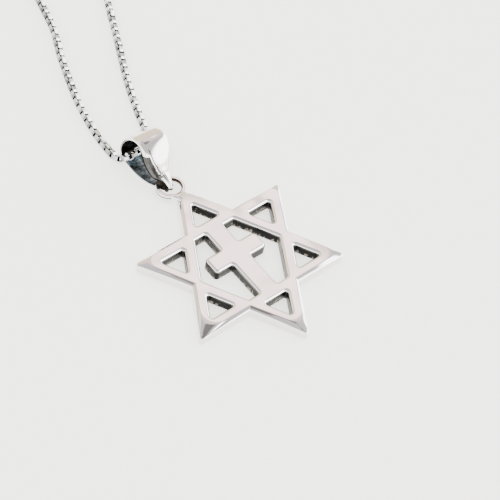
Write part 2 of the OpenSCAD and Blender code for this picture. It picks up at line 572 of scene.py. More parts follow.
@dataclass(frozen=True)
class MottledSilver(Finish):
    """Silver that the polish never reached, cloudy from one place to the next. Some copies are painted
    shade, and one is a painted-lit copy of it.
    """

    name: str = "mottled_silver"
    dark: Color = (0.012, 0.015, 0.018)
    pale: Color = (0.12, 0.15, 0.17)
    cloud_turns: Pair = (0.36, 0.7)
    cloud_scale: float = 1500.0
    cloud_detail: float = 5.0
    cloud_roughness: float = 0.65
    cloud_shape: Direction = (1.0, 1.0, 1.0)
    roughness: float = 0.36
    metallic: float = 1.0
    relief: float = 0.3
    relief_depth: float = 0.03

    def fill(self, sheet: NodeSheet) -> None:
        """Adds the clouds and their relief, without any gloss where it isn't metallic.

        Args:
            sheet: the empty sheet.
        """
        along = sheet.stretched(sheet.place(), self.cloud_shape)
        cloud = sheet.clouds(along, self.cloud_scale, self.cloud_detail, self.cloud_roughness)
        sheet.surface(
            Base_Color=sheet.mix(sheet.ramp(cloud, self.cloud_turns), self.dark, self.pale),
            Roughness=self.roughness,
            Normal=sheet.bump(cloud, self.relief, self.relief_depth),
            Metallic=self.metallic,
            Specular_IOR_Level=0.5 * self.metallic,
        )


@dataclass(frozen=True)
class TableTop(Finish):
    """The pale matt table that the pendant lies on, with a painted glow that keeps the shadows on it faint.
    """

    name: str = "pale_table"
    light: Color = (0.80, 0.805, 0.79)
    warm: Color = (0.78, 0.78, 0.755)
    # Painted light: the table glows, though no lamp is in it, so that shadows on it stay faint
    glow: Color = (1.0, 1.0, 0.97)
    glow_strength: float = 1.55
    roughness: float = 0.7
    cloud_scale: float = 9.0
    cloud_detail: float = 1.0

    def fill(self, sheet: NodeSheet) -> None:
        """Adds the faint clouds of warmer tone and the painted glow.

        Args:
            sheet: the empty sheet.
        """
        cloud = sheet.clouds(sheet.place(), self.cloud_scale, self.cloud_detail)
        sheet.surface(
            Base_Color=sheet.mix(cloud, self.warm, self.light),
            Roughness=self.roughness,
            Emission_Color=(*self.glow, 1.0),
            Emission_Strength=self.glow_strength,
        )


@dataclass
class Star:
    """The cast star: two joined triangles, six small openings, the cross and the eye."""

    # Plate and the slopes along its edge
    apothem: float = 6.6
    thick: float = 1.7
    tip_r: float = 0.3
    notch_r: float = 0.2
    back_edge: float = 0.1
    bevel_w: float = 0.46
    round_w: float = 0.1
    round_h: float = 0.2
    slope: float = 0.42
    slope_round: float = 0.36
    slope_places: tuple[float, ...] = (0.0, 0.12, 0.24, 0.36, 0.68)
    face_shift: Pair = (0.13, 0.12)
    face_tip_r: tuple[float, ...] = (0.9, 0.6, 1.3, 1.4, 1.8, 1.1)
    worn_extra: float = 0.25
    worn_between: Pair = (9.6, 12.9)
    eye_tip_extra: float = 0.9
    eye_tip_between: Pair = (11.0, 12.5)
    sharp_from: float = 38.0
    tip_steps: int = 10
    notch_steps: int = 4
    back_steps: int = 3
    bevel_steps: int = 6
    runs: tuple[float, ...] = (0.06, 0.2, 0.4, 0.6, 0.8, 0.94)

    # Openings and the cross between them
    hole_r: float = 0.22
    hole_edge: float = 0.06
    arm_r: float = 0.5
    worn_arm_r: float = 0.65
    shoulder_w: float = 0.36
    shoulder_h: float = 0.42
    shoulder_turn: float = 9.0
    dark_shoulder: int = 2
    corner_steps: int = 6
    corner_support: float = 0.12
    hex_apothem: float = 5.28
    small_from: float = 6.85
    side_band: float = 1.62
    stem_w: float = 2.8
    bar_w: float = 2.52
    bar_top: float = 2.35
    bar_half: float = 3.94

    # Eye and its neck, whose rows are: along the star, half width, bottom, top
    eye_y: float = 13.91
    eye_aside: float = 0.29
    eye_bore_r: float = 1.16
    eye_long: float = 0.26
    eye_turn: float = -33.0
    eye_wall: float = 0.5
    eye_low: float = 0.5
    eye_thick: float = 0.6
    # Turns round the ring's section that get the eye's dark finish: oxide inside, painted shade underneath
    # and low on the outside
    eye_dark: Pair = (110.0, 358.0)
    eye_corners: float = 4.0
    eye_steps: int = 72
    section_steps: int = 20
    bore_slack: float = 0.004
    bore_reach: float = 1.0
    neck_corners: float = 3.2
    neck_rows: tuple[tuple[float, float, float, float], ...] = (
        (10.4, 0.5, 0.3, 1.2), (10.9, 0.66, 0.3, 1.4), (11.6, 0.84, 0.25, 1.46),
        (12.1, 0.98, 0.28, 1.34), (12.35, 1.08, 0.34, 1.16), (12.6, 1.22, 0.45, 1.0),
        (12.85, 1.32, 0.52, 0.93), (13.1, 1.45, 0.55, 0.9),
    )

    def outline(self, apothem: float, tip_radii: Sequence[float], notch_r: float) -> list[Vector]:
        """Outline of the six-pointed star, always with the same number of points.

        Args:
            apothem: distance from the centre to the long sides.
            tip_radii: radius of each of the six tips.
            notch_r: radius at the bottom of the notches.

        Returns:
            The points, clockwise from the tip that carries the eye.
        """
        points: list[Vector] = []
        for arm in range(6):
            turn = 90 - 60 * arm
            tip_r, next_r = tip_radii[arm], tip_radii[(arm + 1) % 6]
            centre = polar(turn, 2 * (apothem - tip_r))
            for step in range(self.tip_steps + 1):
                points.append(centre + polar(turn + 60 - 120 * step / self.tip_steps, tip_r))
            notch = polar(turn - 30, (apothem + notch_r) / math.cos(math.radians(30)))
            start = points[-1]
            points += [start.lerp(notch - polar(turn - 60, notch_r), share) for share in self.runs]
            for step in range(self.notch_steps + 1):
                points.append(notch - polar(turn - 60 + 60 * step / self.notch_steps, notch_r))
            start = points[-1]
            end = polar(turn - 60, 2 * (apothem - next_r)) + polar(turn, next_r)
            points += [start.lerp(end, share) for share in self.runs]
        return points

    def edge_rings(self) -> list[list[Vector]]:
        """Rings of points round the star's edge.

        Returns:
            The rings, from the back face to the front face.
        """
        outer = self.outline(self.apothem, (self.tip_r,) * 6, self.notch_r)
        back = self.outline(self.apothem - self.back_edge, (self.tip_r,) * 6, self.notch_r)
        shift = Vector(self.face_shift)
        face = [p + shift for p in self.outline(self.apothem - self.bevel_w, self.face_tip_r, self.notch_r)]
        slopes = [self.slope_drop(p) for p in outer]
        rings = []
        for step in range(self.back_steps + 1):
            turn = math.radians(90 * step / self.back_steps)
            height = self.back_edge * (1 - math.cos(turn))
            rings.append([Vector((*b.lerp(o, math.sin(turn)), height)) for b, o in zip(back, outer)])
        for outward, slope_share, round_share in self.edge_profile():
            low = round_share * self.round_h
            rings.append(
                [
                    Vector((*f.lerp(o, outward), self.thick - slope * slope_share - low))
                    for o, f, slope in zip(outer, face, slopes)
                ]
            )
        return rings

    def slope_drop(self, place: Vector) -> float:
        """How far the face has sloped down at a place on the outer edge.

        Args:
            place: the place on the star's outline.

        Returns:
            The drop in millimetres, more at the worn tips and where the eye is soldered on.
        """
        arm = round((90 - math.degrees(math.atan2(place.y, place.x))) / 60) % 6
        plain = (self.bevel_w - self.round_w) * self.slope * (1 - self.slope_round / 2)
        worn = self.worn_extra * self.face_tip_r[arm] / max(self.face_tip_r)
        sunk = self.eye_tip_extra * smooth_share(place.y, *self.eye_tip_between)
        return plain + worn * smooth_share(place.length, *self.worn_between) + sunk

    def arc_profile(self, first_degrees: float) -> list[Pair]:
        """Quarter round from a first tilt to upright.

        Args:
            first_degrees: tilt of its first stretch.

        Returns:
            Shares of its width and of its drop, from the face to the wall.
        """
        first = math.radians(first_degrees)
        profile = []
        for step in range(self.bevel_steps + 1):
            turn = first + (math.pi / 2 - first) * step / self.bevel_steps
            outward = (math.sin(turn) - math.sin(first)) / (1 - math.sin(first))
            profile.append((outward, (math.cos(first) - math.cos(turn)) / math.cos(first)))
        return profile

    def edge_profile(self) -> list[tuple[float, float, float]]:
        """Worn outer edge: a short round at the wall, then a slope that fades into the face.

        Returns:
            From the wall to the face: shares of the bevel's width, of the slope's drop and
            of the round's drop.
        """
        slope_w = 1 - self.round_w / self.bevel_w
        profile = []
        for s in self.slope_places:
            fall = s - self.slope_round / 2 if s > self.slope_round else s * s / (2 * self.slope_round)
            profile.append((slope_w * s, fall / (1 - self.slope_round / 2), 0.0))
        end_tilt = math.degrees(math.atan(self.slope))
        profile += [(slope_w + (1 - slope_w) * out, 1.0, down) for out, down in self.arc_profile(end_tilt)]
        return profile[::-1]

    def rounded(self, corners: Sequence[Vector], radii: Sequence[float]) -> list[Vector]:
        """Closed outline through corners, each rounded, with a support beside each arc.

        Args:
            corners: the sharp corners, in order.
            radii: radius of each corner.

        Returns:
            The outline's points.
        """
        points = []
        count = len(corners)
        for i, (corner, radius) in enumerate(zip(corners, radii)):
            back = (corners[i - 1] - corner).normalized()
            ahead = (corners[(i + 1) % count] - corner).normalized()
            half = math.acos(max(-1.0, min(1.0, back.dot(ahead)))) / 2
            reach = radius / math.tan(half)
            centre = corner + (back + ahead).normalized() * radius / math.sin(half)
            first = corner + back * reach - centre
            last = corner + ahead * reach - centre
            points.append(corner + back * (reach + self.corner_support))
            sweep = first.angle_signed(last)
            for step in range(self.corner_steps + 1):
                points.append(centre + Matrix.Rotation(-sweep * step / self.corner_steps, 2) @ first)
            points.append(corner + ahead * (reach + self.corner_support))
        return points

    def openings(self) -> list[list[Vector]]:
        """Outlines of the openings.

        Returns:
            The six small ones, then the two beside the cross.
        """
        found = []
        reach = 2 * (self.apothem - self.side_band)
        half = (reach - self.small_from) * math.tan(math.radians(30))
        for arm in range(6):
            turn = Matrix.Rotation(math.radians(90 - 60 * arm), 2)
            corners = [(self.small_from, half), (self.small_from, -half), (reach, 0.0)]
            found.append(self.rounded([turn @ Vector(c) for c in corners], (self.hole_r,) * 3))
        side = self.hex_apothem * math.tan(math.radians(30))
        stem = self.stem_w / 2
        low = self.bar_top - self.bar_w
        corners = [
            (stem, self.hex_apothem), (side, self.hex_apothem), (2 * side, 0.0), (side, -self.hex_apothem),
            (stem, -self.hex_apothem), (stem, low), (self.bar_half, low), (self.bar_half, self.bar_top),
            (stem, self.bar_top),
        ]
        for mirror, top_r in ((1, self.worn_arm_r), (-1, self.arm_r)):
            radii = [self.hole_r] * 6 + [self.arm_r, top_r, self.hole_r]
            found.append(self.rounded([Vector((mirror * x, y)) for x, y in corners], radii))
        return found

    def opening_rings(self, outline: Sequence[Vector]) -> list[list[Vector]]:
        """Rings of points down an opening's wall, with a small bevel at the back.

        Args:
            outline: the opening's outline.

        Returns:
            The rings, from the front face to the back face.
        """
        count = len(outline)
        area = sum(outline[i - 1].cross(outline[i]) for i in range(count))
        out = []
        for i in range(count):
            along = (outline[(i + 1) % count] - outline[i - 1]).normalized()
            normal = Vector((along.y, -along.x))
            out.append(normal if area > 0 else -normal)
        steps = [
            (self.shoulder_w * (1 - outward), self.thick - self.shoulder_h * drop)
            for outward, drop in self.arc_profile(self.shoulder_turn)
        ]
        steps += [(0.0, self.hole_edge), (self.hole_edge, 0.0)]
        return [[Vector((*(p + n * grow), z)) for p, n in zip(outline, out)] for grow, z in steps]

    def plate(self) -> bmesh.types.BMesh:
        """The star without its eye.

        Returns:
            The shape in millimetres.
        """
        bm = bmesh.new()
        edge, _ = skin(bm, self.edge_rings(), closed=False)
        fronts, backs = [edge[-1]], [edge[0]]
        for outline in self.openings():
            rings, walls = skin(bm, self.opening_rings(outline), closed=False)
            for face in walls[(self.bevel_steps - self.dark_shoulder) * len(outline) :]:
                face.material_index = Surface.DARK.value
            fronts.append(rings[0])
            backs.append(rings[-1])
        for loops in (fronts, backs):
            edges = [bm.edges.get((loop[i - 1], loop[i])) for loop in loops for i in range(len(loop))]
            bmesh.ops.triangle_fill(bm, use_beauty=True, use_dissolve=False, edges=edges)
        return bm

    def eye_place(self, step: int, radius: float) -> Vector:
        """Point round the eye's long round shape.

        Args:
            step: which of the eye's steps it is on.
            radius: its distance from the eye's middle line.

        Returns:
            The point as a 2-D vector.
        """
        turn = 360 * (step + 0.5) / self.eye_steps
        long_way = math.copysign(self.eye_long, math.cos(math.radians(turn)))
        middle = Vector((-self.eye_aside, self.eye_y)) + polar(self.eye_turn, long_way)
        return middle + polar(self.eye_turn + turn, radius)

    def eye_ring(self) -> bmesh.types.BMesh:
        """The eye's ring, with a soft square section that is dark inside from oxide, and dark underneath
        and low on its outer side from painted shade.

        Returns:
            The shape in millimetres.
        """
        bm = bmesh.new()
        middle = self.eye_bore_r + self.eye_wall / 2
        height = self.eye_low + self.eye_thick / 2
        section = soft_square(self.section_steps, self.eye_corners)
        rings = []
        for step in range(self.eye_steps):
            ring = []
            for across, up in section:
                place = self.eye_place(step, middle + across * self.eye_wall / 2)
                ring.append((*place, height + up * self.eye_thick / 2))
            rings.append(ring)
        _, squares = skin(bm, rings, closed=True)
        for i, face in enumerate(squares):
            turn = 360 * (i % self.section_steps + 0.5) / self.section_steps
            # Oxide inside the eye, and painted shade under the ring and low on its outer side
            if self.eye_dark[0] < turn < self.eye_dark[1]:
                face.material_index = Surface.MUTED.value
        return bm

    def neck(self) -> bmesh.types.BMesh:
        """The soldered neck between the star's tip and the eye.

        Returns:
            The shape in millimetres.
        """
        bm = bmesh.new()
        section = soft_square(self.section_steps, self.neck_corners)
        rings = []
        for y, half, low, high in self.neck_rows:
            middle = (low + high) / 2
            rings.append([(across * half, y, middle + up * (high - low) / 2) for across, up in section])
        skin(bm, rings, closed=False, capped=True)
        return bm

    def bore(self) -> bmesh.types.BMesh:
        """The bar that clears the eye's hole.

        Returns:
            The shape in millimetres.
        """
        bm = bmesh.new()
        radius = self.eye_bore_r - self.bore_slack
        outline = [self.eye_place(step, radius) for step in range(self.eye_steps)]
        heights = (-self.bore_reach, self.thick + self.bore_reach)
        rings = [[(*place, z) for place in outline] for z in heights]
        _, squares = skin(bm, rings, closed=False, capped=True)
        # The hole's wall: dark oxide that also stands for the shade in the hole
        for face in squares:
            face.material_index = Surface.MUTED.value
        return bm

    def build(self, finishes: Sequence[bpy.types.Material]) -> bpy.types.Object:
        """Makes the star with its eye over its node.

        Args:
            finishes: the bright silver, the openings' walls, and the eye's dark oxide, which also paints
                the shade under the eye's ring.

        Returns:
            The finished piece.
        """
        piece = new_object("star_cast", mesh_from(self.plate(), "star_cast"), finishes)
        combine(piece, new_object("neck_tool", mesh_from(self.neck(), "neck_tool"), finishes), "UNION")
        combine(piece, new_object("eye_tool", mesh_from(self.eye_ring(), "eye_tool"), finishes), "UNION")
        combine(piece, new_object("bore_tool", mesh_from(self.bore(), "bore_tool"), finishes), "DIFFERENCE")
        # The sharp edges come first, because finding them makes every face smooth.
        piece.data.set_sharp_from_angle(angle=math.radians(self.sharp_from))
        for face in piece.data.polygons:
            face.use_smooth = abs(face.normal.z) < FLAT_FACE
        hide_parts("star")
        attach(piece, BODY)
        return piece


@dataclass
class Bail:
    """The tapered strip folded into a drop, with its foot through the eye."""

    # The drop and the eye that its foot goes through
    far_wall_y: float = 15.32
    length: float = 6.45
    rise: float = 5.65
    slip: float = 0.4
    eye_y: float = Star.eye_y
    eye_bore_r: float = Star.eye_bore_r
    eye_low: float = Star.eye_low
    eye_thick: float = Star.eye_thick
    eye_gap: float = 0.12

    # The strip: widths, walls and how its outer face rounds up
    width: float = 4.0
    back_wall: float = 0.38
    bend_wall: float = 0.28
    front_wall: float = 1.2
    front_flare: float = 0.2
    foot_w: float = 1.0
    foot_wall: float = 0.42
    foot_back: float = 0.6
    foot_lift: float = 0.03
    crown: float = 0.34
    edge_r: float = 0.09
    edge_share: float = 0.3
    round_share: float = 0.5
    dome_share: float = 0.7
    steps: int = 7
    normal_reach: int = 4
    inner_points: int = 9
    side_points: int = 4

    # The crease along its front, with the black line painted along it, and where each finish starts along
    # and across it
    flat_share: float = 0.72
    crease_share: float = 2.5
    crease_shift: float = 0.28
    crease_from: float = 17.8
    crease_run: float = 2.2
    crease_place: int = 5
    crease_rows: Pair = (9.6, 15.0)
    band_places: int = 3
    band_rows: Pair = (10.2, 13.6)
    thick_from: float = 0.45
    # How many squares at the sides' inner edge take the painted black line
    dark_edge: int = 2
    brushed_from: float = 10.2
    # Where the inner face turns from painted shade to its painted-lit copy
    lit_brown_from: float = 12.3
    crown_shares: tuple[float, ...] = (
        1, 0.97, 0.92, 0.86, 0.81, 0.78, 0.72, 0.7, 0.66, 0.58, 0.48, 0.36, 0.24, 0.12,
    )

    # Rows of shares: along, up, width, wall, crown, flare. The back rows hold along and width.
    back_rows: tuple[Pair, ...] = ((0.0, 0.56), (0.2, 0.85), (0.478, 1.0), (0.795, 0.98))
    bend_rows: tuple[tuple[float, ...], ...] = (
        (0.944, 0.115, 0.94, 1.10, 0.2), (1.00, 0.30, 0.91, 1.00, 0.4), (0.957, 0.54, 0.90, 0.95, 0.55),
        (0.831, 0.78, 0.92, 1.05, 0.65), (0.673, 0.945, 0.95, 1.20, 0.7), (0.504, 1.00, 0.97, 1.70, 0.9),
    )
    front_rows: tuple[tuple[float, ...], ...] = (
        (0.384, 0.883, 0.95, 0.76, 0.95, 0.5), (0.307, 0.685, 0.90, 1.00, 1.0, 1.0),
        (0.198, 0.471, 0.78, 1.00, 1.0, 1.0), (0.074, 0.29, 0.60, 0.95, 0.9, 0.6),
    )

    def sections(self) -> list[Vector]:
        """Sizes of the strip's section, all along the bail's inner line.

        Returns:
            Rows of y, z, half width, wall, crown and flare.
        """
        start, long, rise, half = self.far_wall_y, self.length, self.rise, self.width / 2
        crown, flare = self.crown, self.front_flare
        back, bend, front = self.back_wall, self.bend_wall, self.front_wall
        rows = [(start + s * long, back, w * half, back, 0.0, 0.0) for s, w in self.back_rows]
        rows += [
            (start + s * long, h * rise, w * half, t * bend, c * crown, 0.0)
            for s, h, w, t, c in self.bend_rows
        ]
        rows += [
            (start + s * long, h * rise, w * half, t * front, c * crown, f * flare)
            for s, h, w, t, c, f in self.front_rows
        ]
        wide, wall, bore = self.foot_w, self.foot_wall, self.eye_bore_r
        over = self.eye_low + self.eye_thick + 3 * self.eye_gap
        inside = self.eye_low + 0.62 * self.eye_thick
        under = self.eye_low - self.eye_gap
        rows += [
            (start - self.foot_back, over, 0.58 * wide, 1.48 * wall, 0.6 * crown, 0.5 * flare),
            (self.eye_y + 0.1 * bore, inside, 0.38 * wide, 1.33 * wall, 0.2 * crown, flare),
            (self.eye_y + 0.42 * bore, under, 0.7 * wide, under - self.foot_lift, 0.0, 0.0),
        ]
        return closed_curve([Vector(row) for row in rows], self.steps)

    def place_share(self, share: float, y: float) -> float:
        """Moves a place across the outer face, so that the crease narrows it towards the foot.

        Args:
            share: place across, from -1 to 1, with the crease at flat_share.
            y: where along the bail.

        Returns:
            The moved place across.
        """
        narrowed = smooth_share(self.crease_from - y, 0.0, self.crease_run)
        crease = self.flat_share - self.crease_shift * narrowed
        size = abs(share)
        if size <= self.flat_share:
            moved = size * crease / self.flat_share
        else:
            moved = 1 - (1 - size) * (1 - crease) / (1 - self.flat_share)
        return math.copysign(moved, share)

    def section_points(self, y: float, half: float, wall: float, crown: float, flare: float) -> list[Pair]:
        """Section across the strip, as places across and heights above its inner face.

        Args:
            y: where along the bail.
            half: half of the strip's width at its outer face.
            wall: thickness at the strip's sides.
            crown: extra height of the rounded outer face.
            flare: how much wider the inner face is at each side.

        Returns:
            The section's points: inner face, right side, crown, left side.
        """
        r = min(self.edge_r, self.edge_share * wall, self.edge_share * half)
        cut = self.edge_share * r
        wide = half + flare
        last = self.inner_points - 1
        points = [((wide - r) * (2 * k / last - 1), 0.0) for k in range(self.inner_points)]
        side = [(wide - cut, cut)]
        for k in range(self.side_points + 1):
            share = k / self.side_points
            side.append((wide - flare * share, r + (wall - 2 * r) * share))
        side.append((half - cut, wall - cut))
        points += side
        crease = self.crease_share * flare
        for share in (*self.crown_shares, 0.0, *(-s for s in reversed(self.crown_shares))):
            beyond = max(0.0, (abs(share) - self.flat_share) / (1 - self.flat_share))
            bevel = beyond * (crease + (1 - crease) * beyond)
            fall = self.round_share * share * share + (1 - self.round_share) * bevel
            dome = self.dome_share * flare * (1 - share * share)
            points.append(((half - r) * self.place_share(share, y), wall + crown * (1 - fall) + dome))
        return points + [(-x, height) for x, height in reversed(side)]

    def surface_of(self, place: int, wall: float, row: float) -> Surface:
        """Which finish the strip has at a place round its section.

        Args:
            place: number of the square, counted from the inner face's left edge.
            wall: thickness of the strip's sides there.
            row: number of the row of sizes that the place is at or beyond.

        Returns:
            The finish.
        """
        inner = self.inner_points
        sides = self.side_points + 3
        total = inner + 2 * sides + 2 * len(self.crown_shares) + 1
        # The inner face: dull silver along the back leg, painted shade in the hollow beyond it, and a
        # painted-lit brown at the foot
        if place < inner or place >= total - 1:
            if row < len(self.back_rows):
                return Surface.DARK
            return Surface.LIT_BROWN if row >= self.lit_brown_from else Surface.SHADED
        on_right = place < inner + sides - 2
        on_left = place > total - sides
        if wall > self.thick_from and (on_right or on_left):
            # The inner edge of the sides: a black line of painted shade, with oxide in the corner
            if min(place - inner, total - 2 - place) < self.dark_edge:
                return Surface.BLACK
            return Surface.MUTED if row >= self.brushed_from else Surface.BRIGHT
        from_left = total - sides - 2 - place
        # The crease: a black line that paints a dark reflection
        if from_left == self.crease_place and self.crease_rows[0] <= row < self.crease_rows[1]:
            return Surface.BLACK
        if from_left < self.band_places and self.band_rows[0] <= row < self.band_rows[1]:
            return Surface.MUTED
        return Surface.BRIGHT

    def build(self, finishes: Sequence[bpy.types.Material]) -> bpy.types.Object:
        """Makes the bail over its node.

        Args:
            finishes: one finish for each kind of surface.

        Returns:
            The finished piece.
        """
        rows = self.sections()
        rings = []
        for i, row in enumerate(rows):
            ahead = rows[(i + self.normal_reach) % len(rows)] - rows[i - self.normal_reach]
            out = Vector((ahead[1], -ahead[0])).normalized()
            rings.append(
                [
                    (across - self.slip, row[0] + out.x * height, row[1] + out.y * height)
                    for across, height in self.section_points(row[0], *row[2:6])
                ]
            )
        bm = bmesh.new()
        _, squares = skin(bm, rings, closed=True)
        for i, face in enumerate(squares):
            at, place = divmod(i, len(rings[0]))
            face.material_index = self.surface_of(place, rows[at][3], at / self.steps).value
        piece = new_object("bail_strip", mesh_from(bm, "bail_strip"), finishes)
        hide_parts("bail")
        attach(piece, BODY)
        return piece


@dataclass
class BoxChain:
    """Half of the box chain: folded square links, each turned a quarter from the last."""

    half: Half
    width: float = 1.0
    lift: float = 0.085
    pitch: float = 0.65
    overlap: float = 2.1
    strip_thick: float = 0.18
    strip_width: float = 0.58
    strip_round: float = 0.25
    hidden_below: float = 0.3
    corner_r: float = 0.16
    loose_roll: float = 0.14
    lean: float = 26.0
    seed: int = 11
    clasp_at: Pair = (42.0, 186.5)
    end_at: float = 4.9
    curve_steps: int = 12
    left_route: tuple[Place, ...] = (
        (-0.4, 20.68, 0.5), (-2.25, 20.68, 0.5), (-3.16, 21.42, 0.33), (-3.17, 23.2, 0.06),
        (-2.87, 26.5, 0), (-1.67, 32, 0), (0.68, 38.8, 0), (3.33, 45.4, 0), (5, 56, 0), (1, 66, 0),
        (-9, 79, 0), (-18, 94, 0), (-23.88, 112, 0), (-23.88, 131, 0), (-17, 150, 0), (-4, 167, 0),
        (13, 180, 0), (27, 185.5, 0),
    )
    right_route: tuple[Place, ...] = (
        (-0.4, 20.68, 0.5), (1.4, 20.68, 0.5), (2.24, 21.44, 0.33), (2.75, 23, 0.06), (3.8, 26.2, 0),
        (5.7, 31, 0), (9.1, 38, 0), (12.5, 45, 0), (17, 52.5, 0), (27, 59, 0), (42, 65, 0), (58, 72.5, 0),
        (73, 83, 0), (86, 99, 0), (91.8, 117, 0), (91, 136, 0), (84, 155, 0), (70, 172.5, 0), (55, 183, 0),
    )

    def path(self) -> list[Vector]:
        """Middle of the chain.

        Returns:
            Fine points from the bail to the clasp, in millimetres.
        """
        route = self.left_route if self.half is Half.LEFT else self.right_route
        end = (self.clasp_at[0] + self.half.value * self.end_at, self.clasp_at[1], 0.0)
        points = [Vector((x, y, z + self.lift + self.width / 2)) for x, y, z in (*route, end)]
        return open_curve(points, self.curve_steps)

    def curve(self) -> tuple[bpy.types.Object, float]:
        """The path as a curve.

        Returns:
            The curve object, in metres, and its length in millimetres.
        """
        points = self.path()
        length = sum((b - a).length for a, b in zip(points, points[1:]))
        data = bpy.data.curves.new(f"chain_path_{self.half.name.lower()}", "CURVE")
        data.dimensions = "3D"
        spline = data.splines.new("POLY")
        spline.points.add(len(points) - 1)
        for slot, point in zip(spline.points, points):
            slot.co = (*(point * MM), 1.0)
        holder = bpy.data.objects.new(data.name, data)
        bpy.context.scene.collection.objects.link(holder)
        return holder, length

    def rectangle(
        self, sheet: NodeSheet, width: object, height: object, corner: object
    ) -> bpy.types.NodeSocket:
        """Rectangle with its corners cut once.

        Args:
            sheet: the tree's node sheet.
            width: its width.
            height: its height.
            corner: how far its corners are cut.

        Returns:
            The rectangle as a curve.
        """
        shape = sheet.add("GeometryNodeCurvePrimitiveQuadrilateral", Width=width, Height=height)
        cut = sheet.add(
            "GeometryNodeFilletCurve",
            {"mode": "POLY"},
            Curve=shape.outputs["Curve"],
            Count=1,
            Radius=corner,
        )
        return cut.outputs["Curve"]

    def folded_link(self, sheet: NodeSheet, given: bpy.types.NodeOutputs) -> bpy.types.NodeSocket:
        """One link: a flat strip folded into a box, dark where the strip faces inwards, from oxide and
        painted shade.

        Args:
            sheet: the tree's node sheet.
            given: the tree's inputs.

        Returns:
            The link, lying along its path.
        """
        thick, wide = given["Strip Thickness"], given["Strip Width"]
        box = self.rectangle(
            sheet,
            sheet.math("SUBTRACT", given["Link Length"], thick),
            sheet.math("SUBTRACT", given["Link Width"], thick),
            given["Corner Radius"],
        )
        strip = self.rectangle(sheet, thick, wide, sheet.math("MULTIPLY", thick, self.strip_round))
        link = sheet.add("GeometryNodeCurveToMesh", Curve=box, Profile_Curve=strip)
        flat = sheet.add("GeometryNodeSetShadeSmooth", Geometry=link.outputs["Mesh"], Shade_Smooth=False)
        outward = sheet.dot(
            sheet.add("GeometryNodeInputPosition").outputs["Position"],
            sheet.add("GeometryNodeInputNormal").outputs["Normal"],
        )
        plain = sheet.add(
            "GeometryNodeSetMaterial", Geometry=flat.outputs["Geometry"], Material=given["Silver"]
        )
        # Faces that turn inwards get the dark finish: oxide with painted shade
        dressed = sheet.add(
            "GeometryNodeSetMaterial",
            Geometry=plain.outputs["Geometry"],
            Selection=sheet.math("LESS_THAN", outward, sheet.math("MULTIPLY", wide, self.hidden_below)),
            Material=given["Dark Silver"],
        )
        along = sheet.add(
            "GeometryNodeTransform",
            Geometry=dressed.outputs["Geometry"],
            Rotation=(0.0, math.radians(-90), 0.0),
        )
        return along.outputs["Geometry"]

    def link_roll(self, sheet: NodeSheet, given: bpy.types.NodeOutputs) -> bpy.types.NodeSocket:
        """Turn of each link about the path: a quarter more for every second one, and a little loose.

        Args:
            sheet: the tree's node sheet.
            given: the tree's inputs.

        Returns:
            The turn as a rotation.
        """
        index = sheet.add("GeometryNodeInputIndex").outputs["Index"]
        quarter = sheet.math("MULTIPLY", sheet.math("MODULO", index, 2.0), math.radians(90))
        loose = sheet.add("FunctionNodeRandomValue", {"data_type": "FLOAT"})
        for socket, value in ((2, -self.loose_roll), (3, self.loose_roll), (8, given["Seed"])):
            sheet.feed(loose.inputs[socket], value)
        roll = sheet.math("ADD", sheet.math("ADD", quarter, given["First Roll"]), loose.outputs[1])
        spin = sheet.add("FunctionNodeAxisAngleToRotation", Axis=(0.0, 0.0, 1.0), Angle=roll)
        return spin.outputs["Rotation"]

    def tree(self) -> bpy.types.GeometryNodeTree:
        """Node tree that sets folded links along a curve.

        Returns:
            The tree, with an input for each of the links' sizes.
        """
        tree = bpy.data.node_groups.new("box_links", "GeometryNodeTree")
        tree.is_modifier = True
        sockets = {
            "Geometry": "Geometry", "Link Count": "Int", "Link Length": "Float", "Link Width": "Float",
            "Strip Thickness": "Float", "Strip Width": "Float", "Corner Radius": "Float",
            "First Roll": "Float", "Seed": "Int", "Silver": "Material", "Dark Silver": "Material",
        }
        for name, kind in sockets.items():
            tree.interface.new_socket(name, in_out="INPUT", socket_type=f"NodeSocket{kind}")
        tree.interface.new_socket("Geometry", in_out="OUTPUT", socket_type="NodeSocketGeometry")
        sheet = NodeSheet(tree)
        given = sheet.add("NodeGroupInput").outputs
        upright = sheet.add("GeometryNodeSetCurveNormal", {"mode": "Z_UP"}, Curve=given["Geometry"])
        places = sheet.add(
            "GeometryNodeCurveToPoints",
            {"mode": "COUNT"},
            Curve=upright.outputs["Curve"],
            Count=given["Link Count"],
        )
        facing = sheet.add(
            "FunctionNodeRotateRotation",
            {"rotation_space": "LOCAL"},
            Rotation=places.outputs["Rotation"],
            Rotate_By=self.link_roll(sheet, given),
        )
        laid = sheet.add(
            "GeometryNodeInstanceOnPoints",
            Points=places.outputs["Points"],
            Instance=self.folded_link(sheet, given),
            Rotation=facing.outputs["Rotation"],
        )
        real = sheet.add("GeometryNodeRealizeInstances", Geometry=laid.outputs["Instances"])
        sheet.add("NodeGroupOutput", Geometry=real.outputs["Geometry"])
        return tree

